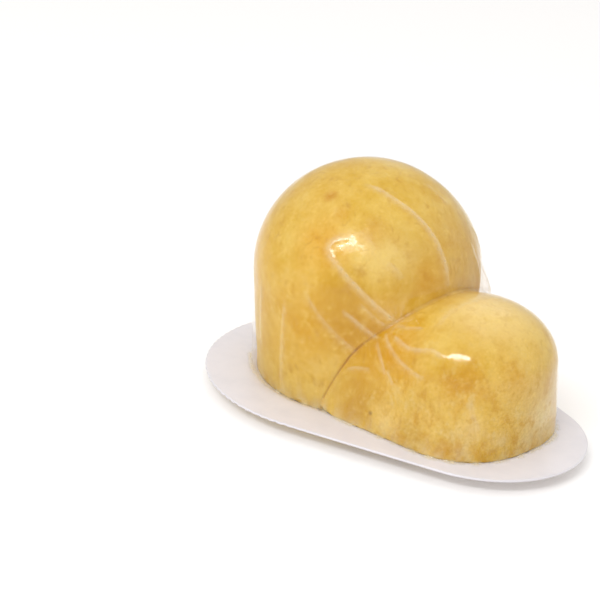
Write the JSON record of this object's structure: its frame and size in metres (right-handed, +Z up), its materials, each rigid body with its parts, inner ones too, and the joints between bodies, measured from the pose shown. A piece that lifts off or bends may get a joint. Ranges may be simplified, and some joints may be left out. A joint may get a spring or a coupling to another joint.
{
  "type": "smoked scamorza",
  "caption": "Two-lobed smoked stretched-curd cheese under clear film, sealed to a pear-shaped printed backing that it lies on.",
  "frame": {"origin": "on the surface the pack lies on, under the middle of its bounding box", "axes": "+X from the large body lobe to the small head lobe, +Z up from the backing to the cheese"},
  "size_m": [0.123, 0.091, 0.0697],
  "materials": {
    "backing": "white web, glossy, printed in yellow underneath",
    "cheese": "smoked rind, buff to deep amber",
    "film": "clear glossy film with fine pleats"
  },
  "bodies": {
    "root": {"backing": "backing", "cheese_in_film": "cheese"}
  },
  "joints": []
}
